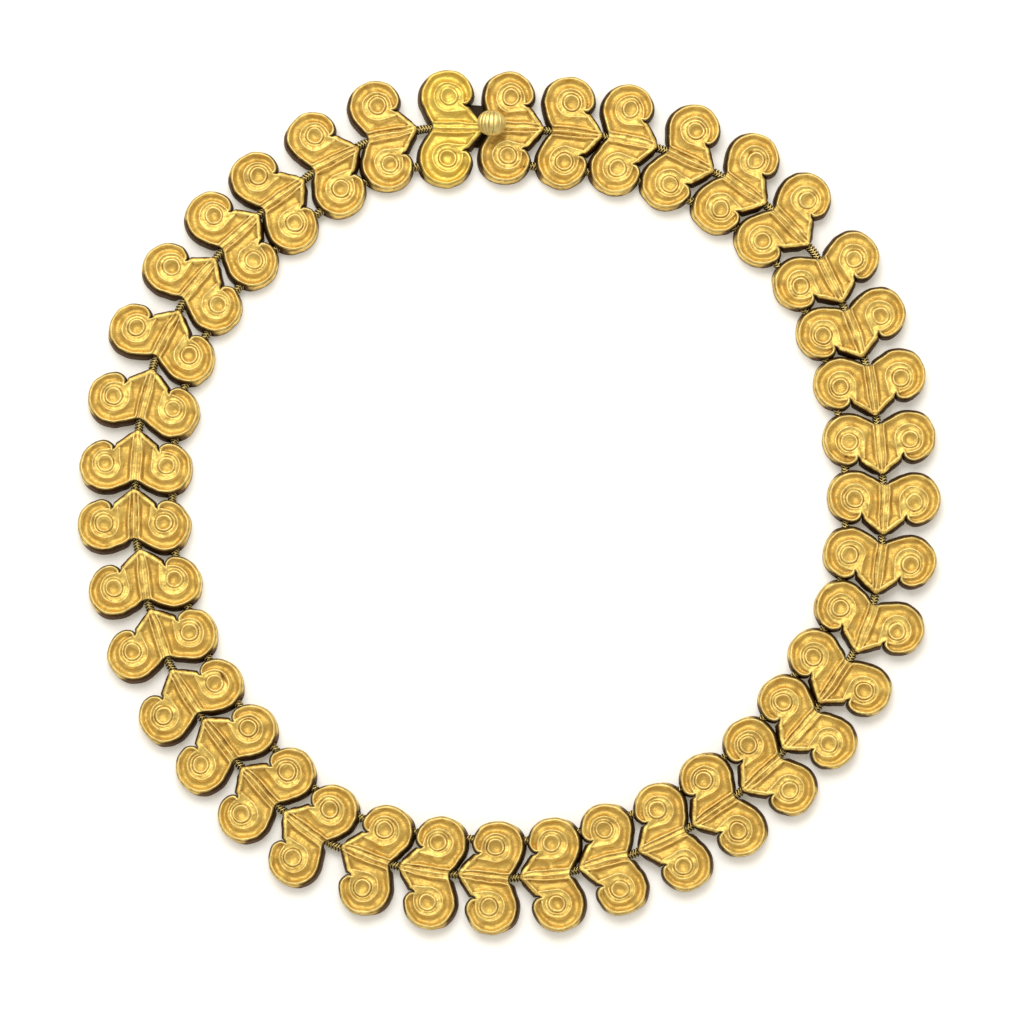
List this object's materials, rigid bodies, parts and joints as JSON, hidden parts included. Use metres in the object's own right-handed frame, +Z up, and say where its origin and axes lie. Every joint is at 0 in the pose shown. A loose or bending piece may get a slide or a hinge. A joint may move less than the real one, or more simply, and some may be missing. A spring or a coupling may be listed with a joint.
{
  "type": "necklace",
  "caption": "Gold collar necklace of hollow double-scroll links with arrow tips, strung on two woven chains and closed by a box clasp with a fluted thumb bead.",
  "frame": {"origin": "centre of the ring's outline at the level of the surface that the links' backs lie on", "axes": "+Z up out of the links' fronts, +Y towards the clasp, +X to the right with the clasp at the back"},
  "size_m": [0.1484, 0.1493, 0.0072],
  "materials": {
    "gold": "satin hammered gold, brighter on the rims, with brown tarnish in the grooves",
    "lemon_gold": "satin hammered gold, yellower than the rest",
    "chain_gold": "woven gold wire, dark between the wires"
  },
  "bodies": {
    "necklace": {"tongue_link": "lemon_gold", "box_link": "gold", "link_03": "gold", "link_04": "gold", "link_05": "gold", "link_06": "gold", "link_07": "gold", "link_08": "gold", "link_09": "gold", "link_10": "gold", "link_11": "gold", "link_12": "gold", "link_13": "gold", "link_14": "gold", "link_15": "gold", "link_16": "gold", "link_17": "gold", "link_18": "gold", "link_19": "gold", "link_20": "gold", "link_21": "gold", "link_22": "gold", "link_23": "gold", "link_24": "gold", "link_25": "gold", "link_26": "gold", "link_27": "gold", "link_28": "gold", "link_29": "gold", "link_30": "gold", "link_31": "gold", "link_32": "gold", "link_33": "gold", "link_34": "gold", "link_35": "gold", "link_36": "gold", "link_37": "gold", "link_38": "gold", "link_39": "gold", "centre_chain": "chain_gold", "inner_chain": "chain_gold"},
    "thumb": {"thumb_press": "gold"}
  },
  "joints": [
    {"name": "clasp_press", "type": "hinge", "parent": "necklace", "child": "thumb", "pos_m": [0.00214, 0.06437, 0.00198], "axis": [-0.0633, -0.998, 0], "range_deg": [0, 4], "stiffness_Nm_per_rad": 0.03}
  ]
}
